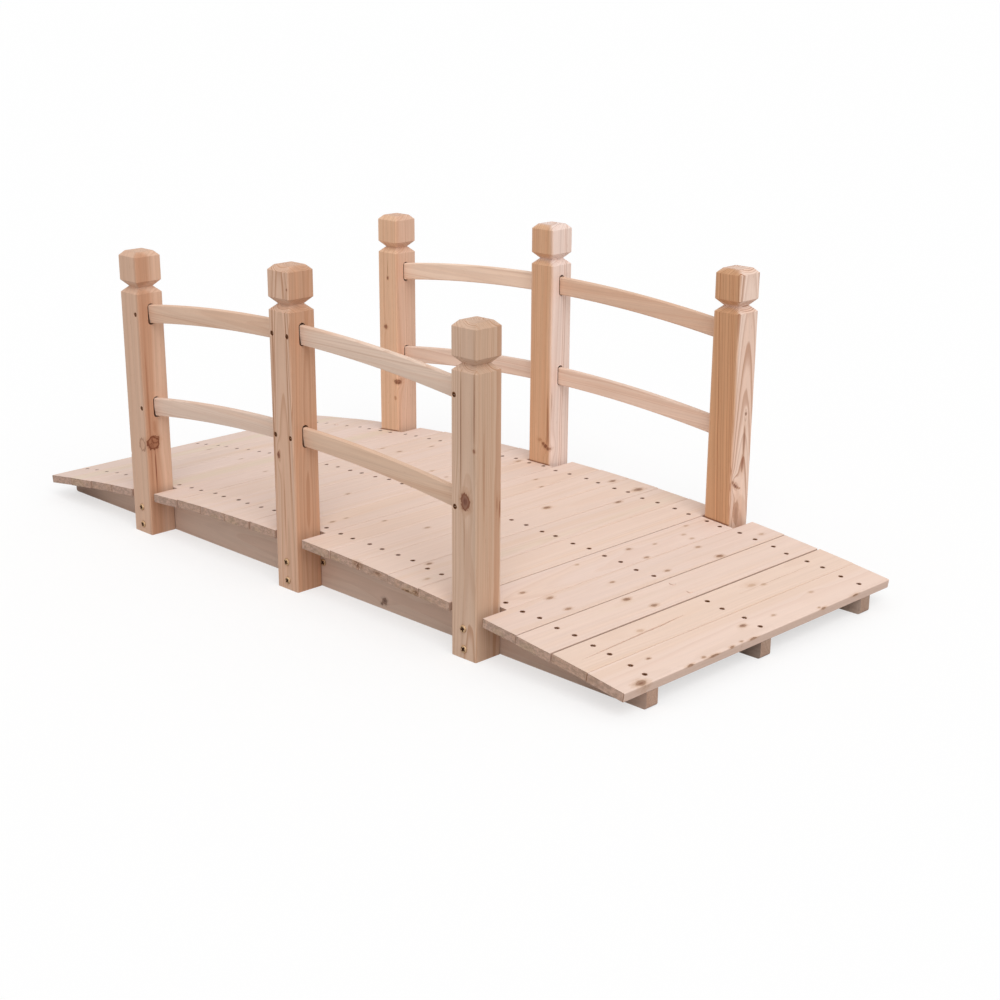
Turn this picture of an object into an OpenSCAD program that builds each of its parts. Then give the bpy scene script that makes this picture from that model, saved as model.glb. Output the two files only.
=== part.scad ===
// Small arched timber garden bridge: three arch-cut stringers, a deck of flat boards laid
// round the arc, six square posts with necked caps, and bowed rails let into the posts.
// X runs along the bridge, Y across it and Z up. The origin is at ground level, at the middle.
// All sizes are in millimetres.

/* [Overall] */
// Length over the two ends of the deck
bridge_length = 1498.6; // [1300:0.1:1800]
// Width over the outer faces of the posts
bridge_width = 673.1; // [560:0.1:900]

/* [Deck] */
// Number of boards, with the middle board at the crown
board_count = 21; // [19:2:25]
// Thickness of a board
board_thickness = 15.24; // [10:0.01:22]
// Height of the deck's top face at the crown
deck_crown = 98; // [92:0.5:130]
// Fall of the deck's top face from the crown to its ends
deck_fall = 54.8; // [30:0.1:60]
// Narrowest gap between two neighbouring boards, at their undersides
board_gap = 0.5; // [0.3:0.1:2]
// How far the ends of a full board stay inside the posts' outer faces
board_trim = 1.5; // [0:0.1:6]
// Rounding of a board's long upper edges
board_round = 1.2; // [0.8:0.1:3]
// Rounding of a board's ends and lower edges
board_arris = 0.6; // [0.3:0.1:1.5]
// Rounding of the walked edge at each end of the deck
nosing_round = 2.5; // [1:0.1:6]
// Gap between a short board's end and the post
board_end_gap = 1; // [0.3:0.1:3]

/* [Stringers] */
// Thickness of a stringer
stringer_thickness = 25.4; // [18:0.1:38]
// Distance from a stringer's end to the end of the deck above it
stringer_setback = 2; // [0:0.5:20]
// Rounding of a stringer's lower corners
stringer_toe = 5; // [1:0.5:12]
// Gap between the stringers' arc and the undersides of the boards
board_seat_gap = 0.2; // [0.1:0.05:0.5]

/* [Posts] */
// Width of a post's square section
post_width = 53.34; // [46:0.01:58]
// Height of the two middle posts
middle_post_height = 552.5; // [520:0.1:650]
// Height of the four end posts
end_post_height = 524.5; // [500:0.5:620]
// Number of boards from one post to the next
boards_per_bay = 6; // [5:1:7]
// Shift of the posts from the middle of the gaps that the short boards leave
post_shift = -3; // [-5:0.5:5]
// Chamfer along a post's four arrises
post_arris = 1.5; // [0.5:0.1:3]
// Height of the sloped top
top_slope_height = 8.3; // [4:0.1:15]
// Inset of the sloped top
top_slope_inset = 8.2; // [4:0.1:15]
// Height of the straight faces of the cap block
cap_height = 43.7; // [30:0.1:55]
// Depth of the V-shaped neck under the cap block
neck_depth = 11.1; // [6:0.1:14]
// Height of the neck's upper slope
neck_upper = 11.5; // [6:0.1:16]
// Height of the neck's lower slope
neck_lower = 10.3; // [6:0.1:16]

/* [Rails] */
// Height of a rail's section
rail_height = 33; // [26:0.5:40]
// Thickness of a rail's section
rail_thickness = 9.4; // [8:0.1:13]
// Radius that the rails are bowed to
rail_radius = 3050; // [2400:10:5000]
// Height of the lower rails' centre line at the crown
lower_rail_crown = 269.3; // [230:0.1:310]
// Height of the upper rails' centre line at the crown
upper_rail_crown = 440.6; // [400:0.1:455]
// Chamfer at a rail's corners
rail_chamfer = 2; // [0.5:0.1:3]
// Share of the rail's height that lies above the crease of its outer face
crease_share = 0.47; // [0.3:0.01:0.7]
// Inset of the outer face at the rail's lower edge
face_slant = 2.2; // [0.5:0.1:4]

/* [Mortises] */
// Depth of a mortise
mortise_depth = 20; // [12:0.5:21]
// Gap between a rail's side and its mortise
mortise_side_gap = 2.2; // [0.2:0.05:2.6]
// Gap between a rail's lower corners and the round lower end of its mortise
mortise_seat_gap = 0.3; // [0.2:0.05:1]
// Height left above the rail at the upper end of its mortise
mortise_head_room = 1.6; // [0.3:0.1:4]
// Gap between a rail's end and the bottom of its mortise
mortise_bottom_gap = 1.5; // [0.5:0.1:5]

/* [Hidden] */
SIDES = ["front", "back"];
STATIONS = ["left", "middle", "right"];
BAYS = ["left", "right"];
LEVELS = ["lower", "upper"];
STRINGERS = [for (place = ["front", "middle", "back"]) str(place, "_stringer")];
BOARDS = [for (i = [1 : board_count]) str("deck_board_", i < 10 ? "0" : "", i)];

// How much wider than the narrowest gap each gap is, from the left end to the right
EXTRA_GAPS = [0.3, 0.1, 0.6, 0.2, 0, 1.5, 0.1, 0.3, 0.5, 0, 0.8, 0.3, 0.3, 0.8, 0.3, 1.5, 0, 1.4, 2.8, 0];
// Slip of each board across the bridge, as a share of the trim at its ends, from left to right
SLIPS = [0.2, -0.6, 0.4, 0, 0, -0.9, 0.7, 0.1, -0.4, 0.6, 0, -0.3, 1, 0.8, -0.5, 0.3, 0, 0.4, -0.7, 0.5, -0.2];

// Facets of the long arcs and of the small round corners
ARC_FN = 720;
ROUND_FN = 32;
// Room by which a cutting shape runs past what it cuts
OVER = 5;

// Arc of the deck: the boards are flat and touch it at their middles
half_length = bridge_length / 2;
half_width = bridge_width / 2;
deck_radius = (half_length ^ 2 + deck_fall ^ 2) / (2 * deck_fall);
deck_centre = deck_crown - deck_radius;
under_radius = deck_radius - board_thickness;
pitch_angle = 2 * asin(half_length / deck_radius) / board_count;
half_pitch = under_radius * tan(pitch_angle / 2);
middle_board = (board_count - 1) / 2;
// The rounded outer edges of the end boards lie exactly at the ends of the bridge
nosing_radius = deck_radius - nosing_round;
nosing_offset = half_pitch - nosing_round;
nosing_reach = sqrt(nosing_radius ^ 2 + nosing_offset ^ 2);
end_angle = asin((half_length - nosing_round) / nosing_reach) - atan(nosing_offset / nosing_radius);
board_angle = end_angle / middle_board;

// Posts
post_span = deck_radius * sin(boards_per_bay * board_angle);
post_line = half_width - post_width / 2;
post_inner = half_width - post_width;
neck_top = top_slope_height + cap_height;
neck_foot = neck_top + neck_upper + neck_lower;

// Stringers
stringer_length = bridge_length - 2 * stringer_setback;
outer_stringer_line = post_inner - stringer_thickness / 2;

// Mortises: the round ends clear both corners of the rail's section, and the slope of the rail
mortise_width = rail_thickness + 2 * mortise_side_gap;
mortise_radius = mortise_width / 2;
rail_slope_rise = mortise_depth / 2 * post_span / rail_radius;
shoulder_reach = rail_height / 2 - rail_chamfer + rail_slope_rise + mortise_radius
    - sqrt(mortise_radius ^ 2 - (rail_thickness / 2) ^ 2);
corner_reach = rail_height / 2 + rail_slope_rise + mortise_radius
    - sqrt(mortise_radius ^ 2 - (rail_thickness / 2 - rail_chamfer) ^ 2);
mortise_height = 2 * max(shoulder_reach, corner_reach) + mortise_head_room + mortise_seat_gap;
mortise_lift = (mortise_head_room - mortise_seat_gap) / 2;

// Half of the gap that follows a board, and how far the board slips across the bridge
function half_gap(index) = (board_gap + EXTRA_GAPS[index % len(EXTRA_GAPS)]) / 2;
function slip(index) = board_trim * SLIPS[index % len(SLIPS)];
// Place of a post along the bridge, by its station: 0 left, 1 middle, 2 right
function post_x(station) = (station - 1) * post_span + post_shift;
function post_height(station) = station == 1 ? middle_post_height : end_post_height;
function side_sign(side) = side == 0 ? -1 : 1;
function level_crown(level) = level == 0 ? lower_rail_crown : upper_rail_crown;
// Height of a rail's centre line at x
function rail_z(level, x) = level_crown(level) - rail_radius + sqrt(rail_radius ^ 2 - x ^ 2);

// Rectangle from x1 to x2 on the X axis and h high, with a radius for each corner:
// lower left, lower right, upper right, upper left
module rounded_rectangle(x1, x2, h, radii) {
    corners = [[x1, 0], [x2, 0], [x2, h], [x1, h]];
    inward = [[1, 1], [-1, 1], [-1, -1], [1, -1]];
    difference() {
        translate([x1, 0]) square([x2 - x1, h]);
        for (i = [0 : 3])
            if (radii[i] > 0)
                translate(corners[i])
                    mirror([inward[i].x < 0 ? 1 : 0, 0])
                        mirror([0, inward[i].y < 0 ? 1 : 0])
                            corner_waste(radii[i]);
    }
}

// What a rounding of radius r takes off a corner that lies at the origin
module corner_waste(r) {
    difference() {
        translate([-OVER, -OVER]) square(r + OVER);
        translate([r, r]) circle(r, $fn = ROUND_FN);
        translate([r, -OVER]) square([OVER, r + 2 * OVER]);
        translate([-OVER, r]) square([r + 2 * OVER, OVER]);
    }
}

// Stands a profile of X and Z upright and gives it a length along Y, centred
module along_y(length) {
    rotate([90, 0, 0])
        linear_extrude(length, center = true) children();
}

// Stands a profile of Y and Z upright and gives it a length along X, centred
module along_x(length) {
    rotate([90, 0, 90])
        linear_extrude(length, center = true) children();
}

// Stringer: flat along the ground, with its top cut to the arc under the boards
module stringer(line) {
    color([0.85, 0.68, 0.50])
        translate([0, line, 0])
            along_y(stringer_thickness)
                intersection() {
                    rounded_rectangle(-stringer_length / 2, stringer_length / 2, deck_crown,
                        [stringer_toe, stringer_toe, 0, 0]);
                    translate([0, deck_centre])
                        circle(under_radius - board_seat_gap, $fn = ARC_FN);
                }
}

// Deck board, counted from the left end: flat, tangent to the arc at its middle
module deck_board(index) {
    steps = index - middle_board;
    between_posts = steps % boards_per_bay == 0 && abs(steps) <= boards_per_bay;
    half = between_posts ? post_inner - board_end_gap : half_width - board_trim;
    shift = between_posts ? 0 : slip(index);
    first = index == 0;
    last = index == board_count - 1;
    left_edge = first ? -half_pitch : half_gap(index - 1) - half_pitch;
    right_edge = last ? half_pitch : half_pitch - half_gap(index);
    left_round = first ? nosing_round : board_round;
    right_round = last ? nosing_round : board_round;
    color([0.93, 0.80, 0.68])
        translate([0, 0, deck_centre])
            rotate([0, steps * board_angle, 0])
                translate([0, 0, under_radius])
                    intersection() {
                        along_y(bridge_width)
                            rounded_rectangle(left_edge, right_edge, board_thickness,
                                [board_arris, board_arris, right_round, left_round]);
                        along_x(4 * half_pitch)
                            rounded_rectangle(shift - half, shift + half, board_thickness,
                                [for (corner = [0 : 3]) board_arris]);
                    }
}

// Side outline of a post, with half_w as its half width: sloped top, cap block and neck
module post_outline(half_w, height) {
    right = [
        [half_w, 0],
        [half_w, height - neck_foot],
        [half_w - neck_depth, height - neck_top - neck_upper],
        [half_w, height - neck_top],
        [half_w, height - top_slope_height],
        [half_w - top_slope_inset, height]
    ];
    left = [for (i = [len(right) - 1 : -1 : 0]) [-right[i].x, right[i].y]];
    polygon(concat(right, left));
}

// The same outline across a post's corners, less the chamfer along its arrises
module post_corner_outline(height) {
    across = sqrt(2);
    function reach(inset) = across * (post_width / 2 - inset) - post_arris / across;
    right = [
        [reach(0), 0],
        [reach(0), height - neck_foot],
        [reach(neck_depth), height - neck_top - neck_upper],
        [reach(0), height - neck_top],
        [reach(0), height - top_slope_height],
        [reach(top_slope_inset), height]
    ];
    left = [for (i = [len(right) - 1 : -1 : 0]) [-right[i].x, right[i].y]];
    polygon(concat(right, left));
}

// Upright slot with half-round ends, cut into the side of a post at x, towards direction
module mortise(x, z, direction) {
    straight = mortise_height - mortise_width;
    translate([x + direction * (post_width / 2 - mortise_depth), 0, z])
        rotate([90, 0, direction > 0 ? 90 : -90])
            linear_extrude(mortise_depth + OVER) {
                square([mortise_width, straight], center = true);
                for (end = [-1, 1])
                    translate([0, end * straight / 2]) circle(mortise_radius, $fn = ROUND_FN);
            }
}

// Post with its mortises, one column of them towards each bay that it carries
module post(side, station) {
    height = post_height(station);
    x = post_x(station);
    facing = station == 0 ? [1] : station == 1 ? [-1, 1] : [-1];
    long = 2 * post_width;
    color([0.86, 0.67, 0.47])
        translate([0, side_sign(side) * post_line, 0])
            difference() {
                translate([x, 0, 0])
                    intersection() {
                        along_y(long) post_outline(post_width / 2, height);
                        along_x(long) post_outline(post_width / 2, height);
                        rotate([0, 0, 45]) along_y(long) post_corner_outline(height);
                        rotate([0, 0, -45]) along_y(long) post_corner_outline(height);
                    }
                for (direction = facing, level = [0, 1]) {
                    middle = x + direction * (post_width - mortise_depth) / 2;
                    mortise(x, rail_z(level, middle) + mortise_lift, direction);
                }
            }
}

// Section of a rail, with its radius along X and its outer face towards +Y
module rail_section() {
    outer = rail_thickness / 2;
    low = rail_radius - rail_height / 2;
    high = low + rail_height;
    crease = high - crease_share * rail_height;
    polygon([
        [low, -outer + rail_chamfer],
        [low + rail_chamfer, -outer],
        [high - rail_chamfer, -outer],
        [high, -outer + rail_chamfer],
        [high, outer - rail_chamfer],
        [high - rail_chamfer, outer],
        [crease, outer],
        [low + rail_chamfer / 2, outer - face_slant],
        [low, outer - face_slant - rail_chamfer / 2]
    ]);
}

// Rail: a slice of a ring about an axis across the bridge, with its ends in the mortises
module rail(side, bay, level) {
    start = post_x(bay) + post_width / 2 - mortise_depth + mortise_bottom_gap;
    end = post_x(bay + 1) - post_width / 2 + mortise_depth - mortise_bottom_gap;
    sweep = 2 * asin((post_span + post_width) / rail_radius);
    color([0.88, 0.70, 0.50])
        translate([0, side_sign(side) * post_line, 0])
            intersection() {
                mirror([0, side == 0 ? 0 : 1, 0])
                    translate([0, 0, level_crown(level) - rail_radius])
                        rotate([90, 0, 0])
                            rotate([0, 0, 90 - sweep / 2])
                                rotate_extrude(angle = sweep, $fn = ARC_FN)
                                    rail_section();
                translate([start, -rail_thickness, 0])
                    cube([end - start, 2 * rail_thickness, middle_post_height]);
            }
}

for (i = [0 : 2])
    stringer((i - 1) * outer_stringer_line);
for (i = [0 : board_count - 1])
    deck_board(i);
for (side = [0, 1], station = [0 : 2])
    post(side, station);
for (side = [0, 1], bay = [0, 1], level = [0, 1])
    rail(side, bay, level);
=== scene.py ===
"""Looks of a small arched timber garden bridge: wood on every solid, screws, floor, light and camera."""

import logging
import math
import random
from dataclasses import dataclass, field, replace
from enum import Enum
from typing import Iterable, Sequence, Union

import bmesh
import bpy
from mathutils import Matrix, Vector, noise


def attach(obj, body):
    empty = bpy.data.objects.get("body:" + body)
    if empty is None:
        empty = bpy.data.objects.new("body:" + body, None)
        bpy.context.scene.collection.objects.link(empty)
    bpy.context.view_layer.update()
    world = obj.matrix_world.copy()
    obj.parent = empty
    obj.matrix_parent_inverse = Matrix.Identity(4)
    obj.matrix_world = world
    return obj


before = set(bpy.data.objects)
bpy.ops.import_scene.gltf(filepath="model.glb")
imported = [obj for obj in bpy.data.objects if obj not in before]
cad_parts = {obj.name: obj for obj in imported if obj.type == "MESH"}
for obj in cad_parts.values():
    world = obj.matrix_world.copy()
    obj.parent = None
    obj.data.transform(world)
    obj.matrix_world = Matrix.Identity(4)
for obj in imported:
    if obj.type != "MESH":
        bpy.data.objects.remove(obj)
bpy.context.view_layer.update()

MM = 0.001
NOWHERE = 10.0
LAST_SEED = 90.0
MASKS = ("Lift", "Core", "Rim")
TONES = ("Sapwood", "Heartwood", "Latewood", "Stain")
# The side tint and the seam, seat, joint and foot numbers set painted shade.
TINTS = ("Knot", "End Tint", "Edge Tint", "Bruise Tint")
FINISH_NUMBERS = ("Line Strength", "Contrast", "Patchiness", "End Patches")
STOCK_NUMBERS = ("Ring Width", "Wander", "Seed", "Heart Radius", "Seam Shade", "Seat Start", "Seat Fade",
                 "Seat Shade", "Joint Start", "Joint Shade", "Foot Height", "Foot Slope", "Foot Side")
Colour = tuple[float, float, float]
Place = tuple[float, float, float]
Shape = bmesh.types.BMesh
Loop = list[bmesh.types.BMVert]
Tree = bpy.types.NodeTree
Socket = bpy.types.NodeSocket
Sockets = bpy.types.bpy_prop_collection
Value = Union[float, Sequence[float], Socket]
log = logging.getLogger("bridge")


def paint(red: int, green: int, blue: int) -> Colour:
    """A colour as linear light.

    Args:
        red: its red as a display value from 0 to 255.
        green: its green.
        blue: its blue.

    Returns:
        The linear colour.
    """
    shares = (channel / 255 for channel in (red, green, blue))
    return tuple(share / 12.92 if share <= 0.04045 else ((share + 0.055) / 1.055) ** 2.4 for share in shares)


class Graph:
    """A node tree with short calls that place its nodes and join them."""

    def __init__(self, tree: Tree) -> None:
        """Takes the tree to build in.

        Args:
            tree: a material's, world's or group's node tree; its nodes are removed.
        """
        self.tree = tree
        tree.nodes.clear()

    @classmethod
    def of_material(cls, name: str) -> tuple[bpy.types.Material, "Graph"]:
        """Starts a material.

        Args:
            name: its name.

        Returns:
            The material and its graph.
        """
        material = bpy.data.materials.new(name)
        material.use_nodes = True
        return material, cls(material.node_tree)

    @classmethod
    def of_group(cls, name: str, inputs: dict[str, Sequence[str]],
                 outputs: dict[str, Sequence[str]]) -> tuple["Graph", Sockets, Sockets]:
        """Starts a node group.

        Args:
            name: the group's name.
            inputs: the names of its inputs of each kind; each material gives all of them.
            outputs: the names of its outputs of each kind.

        Returns:
            The graph, the values that come in, and the sockets that the results feed.
        """
        tree = bpy.data.node_groups.new(name, "ShaderNodeTree")
        for way, kinds in (("INPUT", inputs), ("OUTPUT", outputs)):
            for kind, labels in kinds.items():
                for label in labels:
                    tree.interface.new_socket(label, in_out=way, socket_type=f"NodeSocket{kind}")
        graph = cls(tree)
        return graph, graph.put("NodeGroupInput").outputs, graph.put("NodeGroupOutput").inputs

    def feed(self, socket: Socket, value: Value) -> None:
        """Joins a socket to another one, or sets its own value.

        Args:
            socket: the input to feed.
            value: an output socket, a number, or a vector or colour.
        """
        if isinstance(value, Socket):
            self.tree.links.new(value, socket)
        elif socket.type == "RGBA":
            socket.default_value = (*value, 1.0)
        else:
            socket.default_value = value

    def put(self, kind: str, inputs: dict[Union[str, int], Value] | None = None,
            **settings: object) -> bpy.types.Node:
        """Places a node.

        Args:
            kind: the node's type name.
            inputs: what feeds its inputs, by name or number.
            settings: its other properties.

        Returns:
            The new node.
        """
        node = self.tree.nodes.new(kind)
        for name, setting in settings.items():
            setattr(node, name, setting)
        for name, value in (inputs or {}).items():
            self.feed(node.inputs[name], value)
        return node

    def group(self, tree: Tree, inputs: dict[str, Value]) -> Sockets:
        """Places a node group and gives its outputs."""
        return self.put("ShaderNodeGroup", inputs, node_tree=tree).outputs

    def math(self, operation: str, *values: Value) -> Socket:
        """The result of a Math node."""
        return self.put("ShaderNodeMath", dict(enumerate(values)), operation=operation).outputs[0]

    def times(self, first: Value, second: Value) -> Socket:
        """Two numbers multiplied."""
        return self.math("MULTIPLY", first, second)

    def minus(self, first: Value, second: Value) -> Socket:
        """The first number less the second."""
        return self.math("SUBTRACT", first, second)

    def linear(self, value: Value, factor: Value, offset: Value) -> Socket:
        """A number times a factor, plus an offset."""
        return self.math("MULTIPLY_ADD", value, factor, offset)

    def swing(self, value: Value, amount: Value, offset: Value = 0.0) -> Socket:
        """An offset that a mask moves up and down by half the amount, and leaves alone at 0.5."""
        return self.linear(self.minus(value, 0.5), amount, offset)

    def vector(self, operation: str, *values: Value) -> Socket:
        """The result of a Vector Math node, a length or dot product among them.

        Args:
            operation: the node's operation.
            values: its inputs in order.

        Returns:
            The output socket that the operation fills.
        """
        node = self.put("ShaderNodeVectorMath", dict(enumerate(values)), operation=operation)
        return node.outputs["Value" if operation in ("LENGTH", "DOT_PRODUCT") else "Vector"]

    def scaled(self, vector: Value, factors: Sequence[float]) -> Socket:
        """A vector times a factor for each axis."""
        return self.vector("MULTIPLY", vector, factors)

    def stretched(self, vector: Value, factor: Value) -> Socket:
        """A vector times one number."""
        return self.put("ShaderNodeVectorMath", {0: vector, "Scale": factor}, operation="SCALE").outputs[0]

    def parts(self, vector: Value) -> Sockets:
        """The three parts of a vector."""
        return self.put("ShaderNodeSeparateXYZ", {0: vector}).outputs

    def step(self, value: Value, start: float, end: float, low: Value = 0.0, high: Value = 1.0) -> Socket:
        """A smooth step from one value to another.

        Args:
            value: what the step follows.
            start: where it leaves the low value.
            end: where it reaches the high value.
            low: the result before the start.
            high: the result past the end.

        Returns:
            The output socket.
        """
        inputs = {"Value": value, "From Min": start, "From Max": end, "To Min": low, "To Max": high}
        return self.put("ShaderNodeMapRange", inputs, interpolation_type="SMOOTHSTEP").outputs[0]

    def fall(self, value: Value, start: float, end: float) -> Socket:
        """A smooth step from 1 down to 0."""
        return self.step(value, start, end, 1.0, 0.0)

    def noise(self, vector: Value, scale: Sequence[float], seed: Value, detail: float, roughness: float = 0.5,
              output: str = "Fac") -> Socket:
        """Four-dimensional noise.

        Args:
            vector: the place.
            scale: how many lumps there are to a unit along each axis.
            seed: the fourth coordinate.
            detail: how many finer layers it has.
            roughness: how strong those are.
            output: Fac or Color.

        Returns:
            The output socket.
        """
        inputs = {"Vector": self.scaled(vector, scale), "W": seed, "Scale": 1.0, "Detail": detail,
                  "Roughness": roughness}
        return self.put("ShaderNodeTexNoise", inputs, noise_dimensions="4D").outputs[output]

    def noise_along(self, place: Value, detail: float) -> Socket:
        """Noise along one number."""
        inputs = {"W": place, "Scale": 1.0, "Detail": detail}
        return self.put("ShaderNodeTexNoise", inputs, noise_dimensions="1D").outputs[0]

    def grey(self, value: Value) -> Socket:
        """The same value in all three channels."""
        return self.put("ShaderNodeCombineXYZ", {0: value, 1: value, 2: value}).outputs[0]

    def mix(self, factor: Value, first: Value, second: Value, blend: str = "MIX") -> Socket:
        """Two colours mixed.

        Args:
            factor: the share of the second.
            first: the colour at 0.
            second: the colour at 1.
            blend: the way they are mixed.

        Returns:
            The colour socket.
        """
        inputs = {0: factor, 6: first, 7: second}
        return self.put("ShaderNodeMix", inputs, data_type="RGBA", blend_type=blend).outputs[2]

    def tinted(self, colour: Value, tint: Value) -> Socket:
        """A colour times another."""
        return self.mix(1.0, colour, tint, "MULTIPLY")

    def surface(self, inputs: dict[str, Value], height: Value | None = None) -> None:
        """Ends a material with its shader.

        Args:
            inputs: what feeds the shader, by name.
            height: the height in metres that its bump follows, if it has one.
        """
        if height is not None:
            bump = self.put("ShaderNodeBump", {"Height": height, "Distance": 1.0, "Strength": 1.0})
            inputs = {**inputs, "Normal": bump.outputs[0]}
        shader = self.put("ShaderNodeBsdfPrincipled", inputs)
        self.put("ShaderNodeOutputMaterial", {"Surface": shader.outputs[0]})


class Effects:
    """The shader node groups that several materials share, each built once."""

    RING_INPUTS = ("Ring Width", "Wander", "Seed", "Lift")

    def __init__(self) -> None:
        """Builds the groups in the order in which they use each other."""
        self.knot = self._knot()
        self.rings = self._rings()
        self.fibres = self._fibres()
        self.timber = Timber(self.rings, self.fibres).tree

    def _knot(self) -> Tree:
        """A knot: how far it lifts the rings round it, its core and its rim, added to what comes in.

        Returns:
            The node group.
        """
        graph, given, result = Graph.of_group(
            "knot", {"Vector": ("Vector", "Centre", "Size"), "Float": ("Reach", "Darkness", "Ring", *MASKS)},
            {"Float": MASKS})
        offset = graph.vector("SUBTRACT", given["Vector"], given["Centre"])
        away = graph.vector("DIVIDE", offset, given["Size"])
        own_seed = graph.vector("LENGTH", graph.scaled(given["Centre"], (61, 83, 47)))
        ragged = graph.noise(away, (1.3, 1.3, 1.0), own_seed, 3.0, 0.65)
        far = graph.times(graph.vector("LENGTH", away), graph.linear(ragged, 1.5, 0.3))
        core = graph.times(graph.fall(far, 0.8, 1.0), graph.step(far, 0.25, 0.6, 1.0, 0.8))
        halo = graph.step(far, 0.9, 2.2, 0.22, 0.0)
        core = graph.times(graph.math("MAXIMUM", core, halo), given["Darkness"])
        rim = graph.times(graph.step(far, 0.7, 0.92), graph.fall(far, 0.98, 1.25))
        rim = graph.times(rim, given["Ring"])
        wide = graph.vector("LENGTH", graph.scaled(away, (1, 1, 0.5)))
        lift = graph.math("EXPONENT", graph.times(graph.times(wide, wide), -0.22))
        graph.feed(result["Lift"], graph.linear(lift, given["Reach"], given["Lift"]))
        graph.feed(result["Core"], graph.math("MAXIMUM", core, given["Core"]))
        graph.feed(result["Rim"], graph.math("MAXIMUM", rim, given["Rim"]))
        return graph.tree

    def _rings(self) -> Tree:
        """Growth rings round a pith that leans and wanders, cut by the surface as in a real plank.

        Returns:
            The node group.
        """
        graph, given, result = Graph.of_group(
            "growth_rings", {"Vector": ("Vector", "Pith", "Lean"), "Float": self.RING_INPUTS},
            {"Float": ("Latewood", "Ring Tone", "Band")})
        drift = graph.stretched(given["Lean"], graph.parts(given["Vector"])[2])
        bend = graph.noise(given["Vector"], (0, 0, 3.1), given["Seed"], 1.0, output="Color")
        bend = graph.vector("SUBTRACT", bend, (0.5, 0.5, 0.5))
        bend = graph.stretched(bend, graph.times(given["Wander"], 6.0))
        place = graph.vector("SUBTRACT", graph.vector("SUBTRACT", given["Vector"], given["Pith"]), drift)
        place = graph.scaled(graph.vector("ADD", place, bend), (1, 1, 0))
        ripple = graph.noise(given["Vector"], (38, 38, 6), given["Seed"], 2.0)
        distance = graph.swing(ripple, graph.times(given["Wander"], 2.4), graph.vector("LENGTH", place))
        turns = graph.math("DIVIDE", graph.minus(distance, given["Lift"]), given["Ring Width"])
        turns = graph.swing(graph.noise_along(graph.linear(turns, 0.37, given["Seed"]), 1.0), 1.7, turns)
        phase = graph.math("FRACT", turns)
        year = graph.math("ADD", graph.math("FLOOR", turns), given["Seed"])
        tone = graph.put("ShaderNodeTexWhiteNoise", {"W": year}, noise_dimensions="1D").outputs[0]
        late = graph.times(graph.step(phase, 0.3, 0.88), graph.fall(phase, 0.92, 1.0))
        late = graph.times(late, graph.linear(graph.times(tone, tone), 0.8, 0.2))
        slower = graph.linear(turns, 0.31, graph.math("ADD", given["Seed"], 7.3))
        graph.feed(result["Latewood"], late)
        graph.feed(result["Ring Tone"], tone)
        graph.feed(result["Band"], graph.step(graph.noise_along(slower, 0.0), 0.5, 0.72))
        return graph.tree

    def _fibres(self) -> Tree:
        """The fine lengthwise fibres, the broad bands and the short resin flecks of softwood.

        Returns:
            The node group.
        """
        kinds = {"Fine": ((1300, 1300, 16), 3.0, 0.6), "Band": ((170, 170, 3.2), 2.0, 0.55),
                 "Patch": ((22, 22, 5), 2.0, 0.5), "Fleck": ((900, 900, 75), 1.0, 0.5)}
        graph, given, result = Graph.of_group(
            "fibres", {"Vector": ("Vector",), "Float": ("Seed",)}, {"Float": tuple(kinds)})
        for name, (scale, detail, roughness) in kinds.items():
            value = graph.noise(given["Vector"], scale, given["Seed"], detail, roughness)
            graph.feed(result[name], graph.step(value, 0.66, 0.76) if name == "Fleck" else value)
        return graph.tree


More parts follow.
